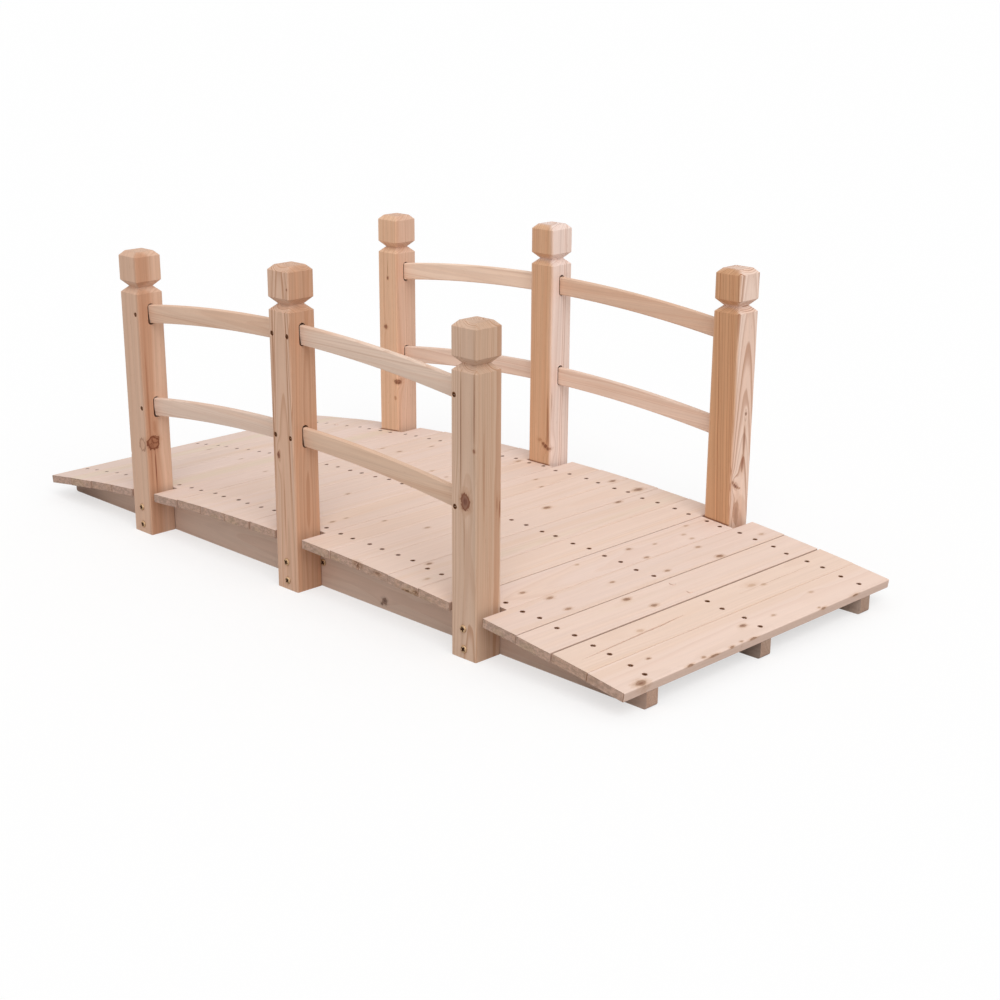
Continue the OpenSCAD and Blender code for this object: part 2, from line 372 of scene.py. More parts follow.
class Timber:
    """Planed softwood as one node group: its figure, knots, painted shade and end grain.

    A timber's own frame has X across it, Y out of its broad face and Z along its grain.
    """

    END_FACING = (0.6, 0.92)
    SIDE_FACING = (0.35, 0.85)
    # Depths and widths of the painted shade: on board sides, in seams, at a post's foot and at a joint.
    SHADED_SIDE_DEPTH = (-2.6 * MM, -1.2 * MM)
    SEAM_MOUTH = (-1.8 * MM, -0.3 * MM)
    FOOT_SHADE_LINE = (1.2 * MM, 3.2 * MM)
    FOOT_RAGGED = 3 * MM
    JOINT_FADE = 0.9 * MM

    def __init__(self, rings: Tree, fibres: Tree) -> None:
        """Builds the group.

        Args:
            rings: the group of growth rings.
            fibres: the group of fibres.
        """
        vectors = ("Vector", "Normal", "Grain Axis", "Pith", "Lean", "Heart Centre")
        numbers = FINISH_NUMBERS + STOCK_NUMBERS + MASKS
        self.graph, self.given, result = Graph.of_group(
            "planed_timber", {"Vector": vectors, "Color": TONES + TINTS, "Float": numbers},
            {"Color": ("Colour",), "Float": ("Roughness", "Height")})
        graph, given = self.graph, self.given
        names = ("Vector", "Pith", "Lean", *Effects.RING_INPUTS)
        self.rings = graph.group(rings, {name: given[name] for name in names})
        self.fibres = graph.group(fibres, {name: given[name] for name in ("Vector", "Seed")})
        self.place, self.normal = graph.parts(given["Vector"]), graph.parts(given["Normal"])
        facing = graph.math("ABSOLUTE", graph.vector("DOT_PRODUCT", given["Normal"], given["Grain Axis"]))
        self.end = graph.step(facing, *self.END_FACING)
        self.bark = graph.mix(0.75, given["Latewood"], given["Knot"])
        sawn = self._sawn()
        body = self._painted_shade(self._knotted(self._figure()))
        graph.feed(result["Colour"], graph.mix(self.end, body, self._ends(body, sawn)))
        graph.feed(result["Roughness"], self._roughness())
        graph.feed(result["Height"], self._height(sawn))
        self.tree = graph.tree

    def _figure(self) -> Socket:
        """The plain wood: sapwood and heartwood, stained bands, ring lines and fibres.

        Returns:
            The colour.
        """
        graph, given = self.graph, self.given
        fine, band, patch, fleck = (self.fibres[name] for name in ("Fine", "Band", "Patch", "Fleck"))
        inward = graph.scaled(graph.vector("SUBTRACT", given["Vector"], given["Heart Centre"]), (1, 1, 0))
        inside = graph.minus(given["Heart Radius"], graph.vector("LENGTH", inward))
        heart = graph.step(graph.linear(patch, 12 * MM, inside), 2 * MM, 12 * MM)
        body = graph.mix(heart, given["Sapwood"], given["Heartwood"])
        stain = graph.linear(self.rings["Band"], 0.8, graph.step(patch, 0.5, 0.8, 0.0, 0.5))
        body = graph.mix(graph.times(stain, given["Patchiness"]), body, given["Stain"])
        strength = graph.times(given["Line Strength"], graph.linear(self.end, 0.8, 1.0))
        body = graph.mix(graph.times(self.rings["Latewood"], strength), body, given["Latewood"])
        shade = graph.swing(self.rings["Ring Tone"], 0.05, graph.swing(fine, 0.22, graph.swing(band, 0.26)))
        body = graph.tinted(body, graph.grey(graph.linear(shade, given["Contrast"], 1.0)))
        flecks = graph.times(fleck, graph.times(given["Contrast"], 0.3))
        return graph.mix(flecks, body, given["Latewood"])

    def _knotted(self, body: Socket) -> Socket:
        """Adds the knots and streaks, tinted where they fade out, and the knots' bark.

        Args:
            body: the plain wood.

        Returns:
            The colour.
        """
        graph, given = self.graph, self.given
        core = graph.times(given["Core"], graph.step(self.fibres["Fine"], 0.3, 0.7, 0.75, 1.0))
        body = graph.mix(core, body, given["Knot"])
        partly = graph.times(graph.times(core, 4.0), graph.minus(1.0, core))
        body = graph.mix(partly, body, graph.tinted(body, given["Bruise Tint"]))
        return graph.mix(given["Rim"], body, self.bark)

    def _painted_shade(self, body: Socket) -> Socket:
        """Adds painted shade: on the sides of boards below their tops, in the seams, on the rails' ends in
        their seats, on the stringers' tips and at the posts' feet.

        Args:
            body: the wood with its knots.

        Returns:
            The colour.
        """
        graph, given, (across, out, along) = self.graph, self.given, (self.place[i] for i in range(3))
        # Painted shade on the sides of a board below its top.
        sides = graph.step(graph.math("ABSOLUTE", self.normal[0]), *self.SIDE_FACING)
        edge = graph.times(graph.fall(out, *self.SHADED_SIDE_DEPTH), sides)
        body = graph.mix(edge, body, graph.tinted(body, given["Edge Tint"]))
        # Painted shade in the seams between boards, down their sides.
        seam = graph.times(graph.fall(out, *self.SEAM_MOUTH), sides)
        body = graph.mix(graph.times(seam, given["Seam Shade"]), body, given["Knot"])
        # Painted shade on a rail's end inside its mortise, and on the front stringer's tips under the deck's
        # overhang.
        past = graph.minus(graph.math("ABSOLUTE", along), given["Seat Start"])
        seat = graph.step(graph.math("DIVIDE", past, given["Seat Fade"]), 0.0, 1.0)
        seat = graph.times(seat, graph.times(given["Seat Shade"], graph.minus(1.0, self.end)))
        body = graph.mix(seat, body, given["Knot"])
        # A line of painted shade at a post's foot, on its inner face where the deck meets it.
        inner = graph.step(graph.times(self.normal[1], given["Foot Side"]), 0.4, 0.9, 0.0, 0.75)
        deck = graph.linear(across, given["Foot Slope"], given["Foot Height"])
        above = graph.swing(self.fibres["Fine"], self.FOOT_RAGGED, graph.minus(along, deck))
        return graph.mix(graph.times(graph.fall(above, *self.FOOT_SHADE_LINE), inner), body, self.bark)

    def _sawn(self) -> Socket:
        """The fuzz of sawn end grain, torn out in patches.

        Returns:
            A factor about 1.
        """
        graph, given = self.graph, self.given
        fuzz = graph.noise(given["Vector"], (700, 700, 700), given["Seed"], 2.0, 0.6)
        torn = graph.noise(given["Vector"], (120, 210, 120), graph.math("ADD", given["Seed"], 3.9), 3.0, 0.7)
        torn = graph.linear(graph.step(torn, 0.38, 0.62, -0.5, 0.5), given["End Patches"], 1.0)
        return graph.times(graph.step(fuzz, 0.3, 0.7, 0.86, 1.1), torn)

    def _ends(self, body: Socket, sawn: Socket) -> Socket:
        """The end grain, with a line of painted shade at its sides, next to the gap to the next piece.

        Args:
            body: the colour of the faces.
            sawn: the fuzz of the end grain.

        Returns:
            The colour.
        """
        graph, given = self.graph, self.given
        ends = graph.tinted(graph.tinted(body, given["End Tint"]), graph.grey(sawn))
        # Painted shade at the sides of a board's end, next to the gap to the next board.
        beside = graph.minus(graph.math("ABSOLUTE", self.place[0]), given["Joint Start"])
        joint = graph.times(graph.step(beside, 0.0, self.JOINT_FADE), given["Joint Shade"])
        return graph.mix(joint, ends, given["Knot"])

    def _roughness(self) -> Socket:
        """How rough the wood is: less on latewood and knots, more on end grain.

        Returns:
            The roughness.
        """
        graph = self.graph
        rough = graph.swing(self.fibres["Fine"], 0.2, graph.linear(self.rings["Latewood"], -0.1, 0.68))
        return graph.linear(self.given["Core"], -0.14, graph.linear(self.end, 0.16, rough))

    def _height(self, sawn: Socket) -> Socket:
        """The height of the surface in metres: latewood, fibres, fuzz and knots stand proud.

        Args:
            sawn: the fuzz of the end grain.

        Returns:
            The height.
        """
        graph = self.graph
        height = graph.linear(self.fibres["Fine"], 0.06 * MM, graph.times(self.rings["Latewood"], 0.04 * MM))
        height = graph.linear(graph.times(sawn, self.end), 0.35 * MM, height)
        return graph.linear(self.given["Core"], 0.1 * MM, height)


@dataclass(frozen=True)
class Knot:
    """One knot, in millimetres of the timber's own frame; with a long stretch and no reach, a dark streak."""

    place: Place
    radius: float
    depth: float
    stretch: float
    darkness: float
    reach: float = 0.0
    depth_axis: int = 1
    ring: float = 0.0

    def inputs(self) -> dict[str, Value]:
        """What the knot feeds its node group.

        Returns:
            A value for each input of its own.
        """
        size = [self.radius, self.radius, self.radius * self.stretch]
        size[self.depth_axis] = self.depth
        return {"Centre": [part * MM for part in self.place], "Size": [part * MM for part in size],
                "Reach": self.reach * MM, "Darkness": self.darkness, "Ring": self.ring}


@dataclass(frozen=True)
class Stock:
    """How one piece of timber was cut from its tree, in metres of the timber's own frame."""

    seed: float
    pith: tuple[float, float]
    lean: tuple[float, float]
    ring_width: float
    wander: float
    heart_centre: tuple[float, float]
    heart_radius: float
    warmth: float = 0.0
    lightness: float = 1.0
    # From here to the foot's side, the numbers place painted shade: in seams, in seats, at joints and at a
    # post's foot.
    seam_shade: float = 0.0
    seat_start: float = NOWHERE
    seat_fade: float = 0.8 * MM
    seat_shade: float = 0.0
    joint_start: float = NOWHERE
    joint_shade: float = 0.0
    foot_height: float = 0.0
    foot_slope: float = 0.0
    foot_side: float = 0.0
    knots: tuple[Knot, ...] = ()


def fields_for(source: object, labels: Sequence[str]) -> dict[str, Value]:
    """The fields that feed a group's inputs, such as ring_width for Ring Width.

    Args:
        source: what has the fields.
        labels: the names of the inputs.

    Returns:
        A value for each input.
    """
    return {label: getattr(source, label.lower().replace(" ", "_")) for label in labels}


@dataclass(frozen=True)
class WoodFinish:
    """Planed, unfinished softwood."""

    WARMER = (0.02, 0.0, -0.06)

    latewood: Colour
    stain: Colour
    knot: Colour
    sapwood: Colour = (0.8, 0.65, 0.55)
    heartwood: Colour = (0.75, 0.5, 0.35)
    end_tint: Colour = (0.67, 0.59, 0.54)
    # How dark the painted shade on a board's sides below its top is.
    edge_tint: Colour = (1.0, 1.0, 1.0)
    bruise_tint: Colour = (1.0, 1.0, 1.0)
    line_strength: float = 0.5
    contrast: float = 1.0
    patchiness: float = 0.35
    end_patches: float = 0.0
    specular: float = 0.25

    def dress(self, piece: bpy.types.Object, place: Matrix, stock: Stock, effects: Effects) -> None:
        """Gives a solid its own wood.

        Args:
            piece: the object to dress.
            place: the frame of the timber, X across, Y through the face, Z along the grain.
            stock: how this piece was cut.
            effects: the shared node groups.
        """
        material, graph = Graph.of_material(f"{piece.name}_wood")
        coordinates = graph.put("ShaderNodeTexCoord").outputs
        local = graph.put("ShaderNodeMapping", {
            "Vector": coordinates["Object"], "Location": place.translation,
            "Rotation": place.to_euler("XYZ")}, vector_type="TEXTURE").outputs[0]
        masks: dict[str, Value] = dict.fromkeys(MASKS, 0.0)
        for knot in stock.knots:
            marked = graph.group(effects.knot, {"Vector": local, **knot.inputs(), **masks})
            masks = {name: marked[name] for name in MASKS}
        tones = {label: self._tuned(tone, stock) for label, tone in fields_for(self, TONES).items()}
        timber = graph.group(effects.timber, {
            "Vector": local, "Normal": coordinates["Normal"], "Grain Axis": place.col[2].to_3d(),
            "Pith": (*stock.pith, 0.0), "Lean": (*stock.lean, 0.0),
            "Heart Centre": (*stock.heart_centre, 0.0),
            **tones, **fields_for(self, TINTS + FINISH_NUMBERS), **fields_for(stock, STOCK_NUMBERS), **masks})
        graph.surface({"Base Color": timber["Colour"], "Roughness": timber["Roughness"],
                       "Specular IOR Level": self.specular}, timber["Height"])
        for slot in piece.material_slots:
            slot.material = material

    def shaded(self, shade: Colour) -> "WoodFinish":
        """The same finish on a darker, lighter or browner piece of timber.

        Args:
            shade: what each colour channel is multiplied by.

        Returns:
            The new finish.
        """
        return replace(self, **{
            label.lower(): tuple(min(1.0, part * share) for part, share in zip(tone, shade))
            for label, tone in fields_for(self, TONES).items()})

    def _tuned(self, colour: Colour, stock: Stock) -> Colour:
        """A colour made lighter and warmer as the stock says."""
        warm = (1 + share * stock.warmth for share in self.WARMER)
        return tuple(min(1.0, part * share * stock.lightness) for part, share in zip(colour, warm))


@dataclass(frozen=True)
class MetalFinish:
    """Coated steel, worn a little at its high places."""

    coat: Colour = paint(104, 64, 38)
    worn: Colour = paint(142, 100, 68)
    metallic: float = 0.3
    specular: float = 0.08
    # The colour of the dirt and painted shade in the recesses.
    dirt_and_shade: Colour = paint(58, 28, 12)

    def dress(self, piece: bpy.types.Object) -> None:
        """Gives a piece its metal, and the dirt and painted shade of its recesses as a second material.

        Args:
            piece: the object to dress.
        """
        piece.data.materials.append(self._steel(f"{piece.name}_steel"))
        piece.data.materials.append(self._dirt_and_shade_material(f"{piece.name}_recess_grime"))

    def _dirt_and_shade_material(self, name: str) -> bpy.types.Material:
        """The dirt and painted shade in a recess.

        Args:
            name: the material's name.

        Returns:
            The material.
        """
        material, graph = Graph.of_material(name)
        place = graph.put("ShaderNodeTexCoord").outputs["Object"]
        crumbs = graph.noise(place, (1500, 1500, 1500), 2.2, 3.0, 0.6)
        graph.surface({
            "Base Color": graph.mix(graph.step(crumbs, 0.4, 0.7, 0.0, 0.12), self.dirt_and_shade, self.coat),
            "Roughness": graph.step(crumbs, 0.3, 0.7, 0.75, 0.95), "Specular IOR Level": self.specular})
        return material

    def _steel(self, name: str) -> bpy.types.Material:
        """The coated steel itself.

        Args:
            name: the material's name.

        Returns:
            The material.
        """
        material, graph = Graph.of_material(name)
        place = graph.put("ShaderNodeTexCoord").outputs["Object"]
        mottle = graph.noise(place, (900, 900, 900), 1.3, 3.0, 0.6)
        scuffs = graph.noise(place, (260, 260, 260), 4.1, 2.0)
        graph.surface({
            "Base Color": graph.mix(graph.step(scuffs, 0.5, 0.72), self.coat, self.worn),
            "Roughness": graph.step(mottle, 0.3, 0.7, 0.38, 0.62), "Metallic": self.metallic,
            "Specular IOR Level": self.specular}, graph.times(mottle, 0.06 * MM))
        return material


def either_way(chance: random.Random, most: float) -> float:
    """A random number up to the same size on both sides of zero."""
    return chance.uniform(-most, most)


def frame_of(origin: Sequence[float], face: Sequence[float], grain: Sequence[float]) -> Matrix:
    """The frame of a piece of timber.

    Args:
        origin: a point of its middle line.
        face: the direction out of its broad face.
        grain: the direction of its grain.

    Returns:
        A matrix with X across, Y out of the face and Z along the grain.
    """
    third, second = Vector(grain).normalized(), Vector(face).normalized()
    turn = Matrix((second.cross(third), second, third)).transposed().to_4x4()
    return Matrix.Translation(origin) @ turn


def band(shape: Shape, upper: Loop, lower: Loop) -> None:
    """Makes the faces between two loops that have the same number of points.

    Args:
        shape: the shape to add to.
        upper: one loop.
        lower: the other.
    """
    count = len(upper)
    for i in range(count):
        shape.faces.new((upper[i], lower[i], lower[(i + 1) % count], upper[(i + 1) % count]))


def wrap(shape: Shape, loops: list[Loop], lid: bool = True) -> None:
    """Makes the faces round a stack of loops, and under it.

    Args:
        shape: the shape to add to.
        loops: the loops from the top down.
        lid: whether the top is closed too.
    """
    for upper, lower in zip(loops, loops[1:]):
        band(shape, upper, lower)
    if lid:
        shape.faces.new(loops[0])
    shape.faces.new(list(reversed(loops[-1])))


def to_mesh(name: str, shape: Shape) -> bpy.types.Mesh:
    """Makes a mesh.

    Args:
        name: its name.
        shape: its points and faces; it is used up.

    Returns:
        The mesh.
    """
    mesh = bpy.data.meshes.new(name)
    shape.to_mesh(mesh)
    shape.free()
    return mesh


def to_object(name: str, shape: Shape) -> bpy.types.Object:
    """Makes an object in the scene.

    Args:
        name: its name.
        shape: its points and faces; it is used up.

    Returns:
        The object.
    """
    item = bpy.data.objects.new(name, to_mesh(name, shape))
    bpy.context.scene.collection.objects.link(item)
    return item


def cut(solid: bpy.types.Object, shape: Shape, name: str) -> None:
    """Cuts a shape out of a CAD node with a modifier.

    Args:
        solid: the node.
        shape: what is cut out; it is used up.
        name: the modifier's name.
    """
    tool = to_object(f"{solid.name}_{name}", shape)
    tool.hide_render = tool.hide_viewport = True
    modifier = solid.modifiers.new(name, "BOOLEAN")
    modifier.object, modifier.operation, modifier.solver = tool, "DIFFERENCE", "EXACT"


def keep_flat(solid: bpy.types.Object) -> None:
    """Lets the large faces of a cut solid set the normals, so that they shade flat."""
    modifier = solid.modifiers.new("flat_faces", "WEIGHTED_NORMAL")
    modifier.weight, modifier.keep_sharp = 100, True


@dataclass
class Screws:
    """Countersunk screws with a cross recess, and the holes that they sit in."""

    name: str
    finish: MetalFinish
    profile: tuple[tuple[float, float], ...] = (
        (3.7 * MM, 0.0), (4.1 * MM, -0.3 * MM), (4.0 * MM, -0.5 * MM), (1.9 * MM, -3.0 * MM))
    recess_reach: float = 2.35 * MM
    recess_half_width: float = 0.55 * MM
    recess_depth: float = 1.7 * MM
    recess_taper: tuple[float, float] = (0.62, 0.8)
    sunk: float = 0.35 * MM
    sunk_range: tuple[float, float] = (0.6, 1.6)
    lean: float = math.radians(3)
    hole_radius: float = 4.65 * MM
    hole_profile: tuple[tuple[float, float], ...] = (
        (1.03, 1.0 * MM), (1.0, 0.0), (0.95, -0.4 * MM), (0.8, -1.5 * MM))
    hole_ragged: tuple[float, float] = (0.96, 1.06)
    segments: int = 28
    places: list[Matrix] = field(default_factory=list)

    def _ring(self, shape: Shape, radius: float, height: float) -> Loop:
        """A closed ring of points round the Z axis."""
        turns = (2 * math.pi * i / self.segments for i in range(self.segments))
        return [shape.verts.new((radius * math.cos(t), radius * math.sin(t), height)) for t in turns]

    def head(self) -> bpy.types.Mesh:
        """One screw head about the origin, which lies in the plane of the timber.

        Returns:
            The mesh.
        """
        shape = bmesh.new()
        loops = [self._ring(shape, radius, height) for radius, height in self.profile]
        wrap(shape, loops, lid=False)
        height, half = self.profile[0][1], self.recess_half_width
        arm = [(self.recess_reach, -half), (self.recess_reach, half), (half, half)]
        quarters = ((1, 0), (0, 1), (-1, 0), (0, -1))
        outline = [(x * c - y * s, x * s + y * c) for c, s in quarters for x, y in arm]
        lip = [shape.verts.new((x, y, height)) for x, y in outline]
        narrow, short = self.recess_taper
        floor = [shape.verts.new((x * narrow, y * short, height - self.recess_depth)) for x, y in outline]
        band(shape, list(reversed(lip)), list(reversed(floor)))
        shape.faces.new(floor)
        inner = set(lip + floor)
        # The recess faces take the second material, its dirt and painted shade.
        for face in shape.faces:
            face.material_index = int(inner.issuperset(face.verts))
        edges = [shape.edges.get((loop[i], loop[(i + 1) % len(loop)]))
                 for loop in (loops[0], lip) for i in range(len(loop))]
        bmesh.ops.triangle_fill(shape, use_beauty=True, use_dissolve=False, edges=edges, normal=(0, 0, 1))
        bmesh.ops.recalc_face_normals(shape, faces=shape.faces)
        return to_mesh("screw_head", shape)

    def drive(self, solid: bpy.types.Object, places: Iterable[tuple[Vector, Vector]],
              chance: random.Random) -> None:
        """Sinks screws into a solid: cuts their holes and keeps their places.

        Args:
            solid: the CAD node that holds them.
            places: for each screw, the point on the surface and the direction out of it.
            chance: the source of small differences.
        """
        shape = bmesh.new()
        for point, outward in places:
            seat = Matrix.Translation(point) @ outward.to_track_quat("Z", "Y").to_matrix().to_4x4()
            lean = Matrix.Rotation(either_way(chance, self.lean), 4, "X")
            turn = Matrix.Rotation(chance.uniform(0, math.pi), 4, "Z")
            depth = self.sunk * chance.uniform(*self.sunk_range)
            self.places.append(seat @ Matrix.Translation((0, 0, -depth)) @ lean @ turn)
            radii = [self.hole_radius * chance.uniform(*self.hole_ragged) for _ in range(self.segments)]
            loops = []
            for share, height in self.hole_profile:
                loop = self._ring(shape, 1.0, height)
                for vertex, radius in zip(loop, radii):
                    vertex.co.x *= radius * share
                    vertex.co.y *= radius * share
                    vertex.co = seat @ vertex.co
                loops.append(loop)
            wrap(shape, loops)
        bmesh.ops.recalc_face_normals(shape, faces=shape.faces)
        cut(solid, shape, f"holes_{self.name}")

    def build(self) -> bpy.types.Object:
        """All the heads as one piece.

        Returns:
            The piece, dressed and riding on the bridge.
        """
        head = self.head()
        shape = bmesh.new()
        for place in self.places:
            before = len(shape.verts)
            shape.from_mesh(head)
            shape.verts.ensure_lookup_table()
            bmesh.ops.transform(shape, matrix=place, verts=shape.verts[before:])
        piece = to_object(self.name, shape)
        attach(piece, "root")
        self.finish.dress(piece)
        return piece


@dataclass(frozen=True)
class Crack:
    """A drying crack in a board's top face, tapered at both ends, in millimetres."""

    start: tuple[float, float]
    end: tuple[float, float]
    width: float
    depth: float
    above: float = 1.0
    stations: int = 48
    mouth_share: float = 1.1
    floor_share: float = 0.3
    least_width: float = 0.06
    least_depth: float = 0.08
    slow_bend: float = 0.9
    quick_bend: float = 0.5

    def shape(self, place: Matrix) -> Shape:
        """The wedge that the crack takes out of its board.

        Args:
            place: the frame of the board.

        Returns:
            The closed mesh.
        """
        shape = bmesh.new()
        back, top = place.inverted(), place.translation.z
        first, last = (back @ Vector((x * MM, y * MM, top)) for x, y in (self.start, self.end))
        loops = []
        for i in range(self.stations + 1):
            share = i / self.stations
            along = first.lerp(last, share)
            open_share = math.sin(math.pi * share ** 0.8) ** 0.7 if 0 < share < 1 else 0.0
            rough = noise.noise(Vector((share * 14, 2.7, 0)))
            half = self.width * MM / 2 * (self.least_width + open_share * (0.85 + 0.5 * rough))
            deep = self.depth * MM * (self.least_depth + (1 - self.least_depth) * open_share)
            slow, quick = (noise.noise(Vector(spot)) for spot in ((share * 5, 0.3, 0), (share * 31, 5.1, 0)))
            middle = along.x + self.slow_bend * MM * slow + self.quick_bend * MM * quick
            mouth, floor = (half * self.mouth_share, self.above * MM), (half * self.floor_share, -deep)
            outline = ((-mouth[0], mouth[1]), mouth, floor, (-floor[0], floor[1]))
            loops.append([shape.verts.new(place @ Vector((middle + x, y, along.z))) for x, y in outline])
        wrap(shape, loops)
        bmesh.ops.recalc_face_normals(shape, faces=shape.faces)
        return shape


@dataclass(frozen=True)
class Dent:
    """A small torn or bruised place at the edge of a solid, in millimetres and degrees."""

    place: Place
    size: Place
    tilt: float = 0.0
    lumpiness: float = 0.35

    def add(self, shape: Shape) -> None:
        """Adds the irregular lump that is taken away.

        Args:
            shape: the mesh to add to.
        """
        before = len(shape.verts)
        bmesh.ops.create_icosphere(shape, subdivisions=3, radius=1.0)
        shape.verts.ensure_lookup_table()
        middle = Vector([part * MM for part in self.place])
        turn = Matrix.Translation(middle) @ Matrix.Rotation(math.radians(self.tilt), 4, "Y")
        for vertex in shape.verts[before:]:
            lump = 1 + self.lumpiness * noise.noise(vertex.co * 2.1 + middle * 50)
            vertex.co = turn @ Vector([part * size * MM * lump for part, size in zip(vertex.co, self.size)])


def take_away(solid: bpy.types.Object, dents: Sequence[Dent]) -> None:
    """Takes the torn places off a CAD node with one modifier.

    Args:
        solid: the node.
        dents: its torn places; with none of them, nothing is done.
    """
    if dents:
        shape = bmesh.new()
        for dent in dents:
            dent.add(shape)
        cut(solid, shape, "torn_places")


@dataclass
class Deck:
    """The planked deck: flat boards laid round an arc and screwed to three stringers.

    Cracks, torn places and knots are in millimetres of the bridge, the first two with their board's number.
    """

    finish: WoodFinish
    effects: Effects
    screws: Screws
    board_count: int = 21
    half_length: float = 749.3 * MM
    crown: float = 98.0 * MM
    fall: float = 54.8 * MM
    thickness: float = 15.24 * MM
    nosing: float = 2.5 * MM
    screw_rows: tuple[float, ...] = (-264.5 * MM, 4 * MM, 272 * MM)
    screw_offset: float = 16.2 * MM
    screw_play: tuple[float, float] = (2 * MM, 3.5 * MM)
    cracks: tuple[tuple[int, Crack], ...] = (
        (20, Crack((639.5, -66), (648, -314), 3.4, 5)), (20, Crack((641, 268), (641.5, 60), 0.9, 3)))
    torn: tuple[tuple[int, Dent], ...] = (
        (13, Dent((172.2, -335.6, 91.0), (5.0, 5.2, 3.0), 14)),
        (13, Dent((176.6, -335.6, 85.0), (2.4, 4.6, 5.0), 4)),
        (14, Dent((183.4, -335.4, 89.4), (4.0, 4.4, 2.8), -12)),
        (15, Dent((317.0, -335.6, 78.6), (4.6, 4.4, 2.6), 8)),
        (15, Dent((297.0, -335.4, 76.0), (8.0, 2.2, 1.6), 6)),
        (14, Dent((226.0, -335.4, 86.6), (7.0, 2.4, 1.5), 5)),
        (19, Dent((600.4, -335.0, 38.0), (1.3, 2.0, 3.0), 24)),
        (21, Dent((749.4, -188.0, 42.2), (1.8, 7.0, 1.2), 24)),
        (21, Dent((749.8, -132.0, 41.6), (1.6, 11.0, 1.4), 38)),
        (21, Dent((749.2, -88.0, 42.6), (2.0, 5.0, 1.2), 18)),
        (21, Dent((749.6, -36.0, 41.8), (1.6, 9.0, 1.3), 32)),
        (21, Dent((749.6, 148.0, 41.8), (1.8, 7.0, 1.2), 26)),
        (21, Dent((749.8, 236.0, 41.0), (1.6, 9.0, 1.4), 40)),
        (1, Dent((-749.4, -150.0, 41.8), (1.8, 8.0, 1.3), -28)),
        (1, Dent((-749.8, 40.0, 41.2), (1.6, 11.0, 1.4), -38)),
        (1, Dent((-749.2, 205.0, 42.4), (2.0, 6.0, 1.2), -20)))
    bruise: float = 0.8
    bruise_darkness: float = 0.9
    knots: tuple[tuple[float, float, float, float], ...] = (
        (746, -152, 3.0, 0.5), (747, -62, 2.6, 0.45), (746, 141, 2.4, 0.4), (744, -293, 7.5, 0.8),
        (715, -18, 4.6, 0.85), (701, -226, 2.8, 0.65), (720, 54, 3.2, 0.3), (704, 177, 3.8, 0.25),
        (635, -167, 5.0, 0.2), (633, 113, 6.0, 0.22), (642, 133, 3.6, 0.28), (590, -80, 4.8, 0.6),
        (550, -100, 5.2, 0.65), (529, 163, 5.2, 0.65), (482, 163, 3.8, 0.45), (511, 302, 4.2, 0.28),
        (430, 112, 3.0, 0.35), (418, 58, 3.9, 0.5), (460, 55, 3.9, 0.5), (516, 41, 3.8, 0.5),
        (493, -69, 3.3, 0.5), (411, -63, 3.0, 0.32), (475, -196, 4.6, 0.52), (520, -202, 4.3, 0.52),
        (436, -217, 3.8, 0.52), (432, 186, 3.8, 0.28), (452, 184, 3.8, 0.28), (408, 222, 3.5, 0.28),
        (233, 299, 7.6, 0.8), (170, 300, 5.4, 0.65), (255, 218, 5.0, 0.7), (194, 96, 5.4, 0.75),
        (259, -252, 3.8, 0.75), (304, -298, 3.8, 0.28), (132, -137, 3.8, 0.4), (56, -167, 3.0, 0.45),
        (-2, -236, 3.8, 0.45), (-1, -205, 3.0, 0.36), (107, 175, 3.8, 0.45), (68, 200, 3.4, 0.4),
        (-39, 264, 5.0, 0.4), (-110, -108, 3.4, 0.4), (-110, 102, 3.4, 0.28), (-60, 92, 3.4, 0.28),
        (-247, 229, 3.8, 0.45), (-267, 161, 4.2, 0.45), (-315, 159, 3.8, 0.32), (-359, -103, 3.4, 0.36),
        (-491, -61, 3.8, 0.4), (-470, -250, 3.4, 0.36), (-560, 120, 3.8, 0.45), (-640, -30, 4.2, 0.45),
        (-700, 210, 3.8, 0.45))
    knot_strength: float = 1.5
    knot_width: float = 0.88
    knot_depth: float = 11.0
    knot_stretch: float = 1.8
    # A line of painted shade at the sides of each board's end, next to the gaps.
    joint_line: float = 1.6 * MM
    joint_shade: float = 0.9
    pith_across: float = 25 * MM
    pith_below: tuple[float, float] = (14 * MM, 60 * MM)
    leans: tuple[float, float] = (0.03, 0.035)
    ring_widths: tuple[float, float] = (3.2 * MM, 6.4 * MM)
    wanders: tuple[float, float] = (1.2 * MM, 2.4 * MM)
    heart_radii: tuple[float, float] = (10 * MM, 34 * MM)
    # How dark the painted shade in each board's seams is.
    seam_shades: tuple[float, ...] = (
        0.0, 0.45, 0.4, 0.45, 0.4, 0.45, 0.5, 0.4, 0.45, 0.3, 0.35, 0.15, 0.05, 0.05, 0.05, 0.25, 0.15, 0.25,
        0.22, 0.0, 0.0)
    warmths: tuple[float, ...] = (
        -0.3, -0.2, -0.1, -0.4, -0.1, -0.2, 0.1, -0.2, 0.0, -0.1, 0.1, 0.0, 0.1, 0.2, 0.1, 0.3, -0.2, -0.1,
        0.1, 0.6, 0.1)
    levels: tuple[float, ...] = (
        0.98, 0.99, 0.97, 1.0, 0.98, 1.0, 0.99, 1.0, 0.99, 1.0, 0.99, 1.01, 1.0, 1.0, 0.99, 1.0, 1.01, 1.0,
        1.01, 1.0, 1.02)

    def __post_init__(self) -> None:
        """Works out the arc as the solids have it."""
        self.radius = (self.half_length ** 2 + self.fall ** 2) / (2 * self.fall)
        self.centre = self.crown - self.radius
        under = self.radius - self.thickness
        self.half_pitch = under * math.tan(math.asin(self.half_length / self.radius) / self.board_count)
        edge, high = self.half_pitch - self.nosing, self.radius - self.nosing
        end = math.asin((self.half_length - self.nosing) / math.hypot(high, edge)) - math.atan(edge / high)
        self.middle = (self.board_count - 1) // 2
        self.board_angle = end / self.middle

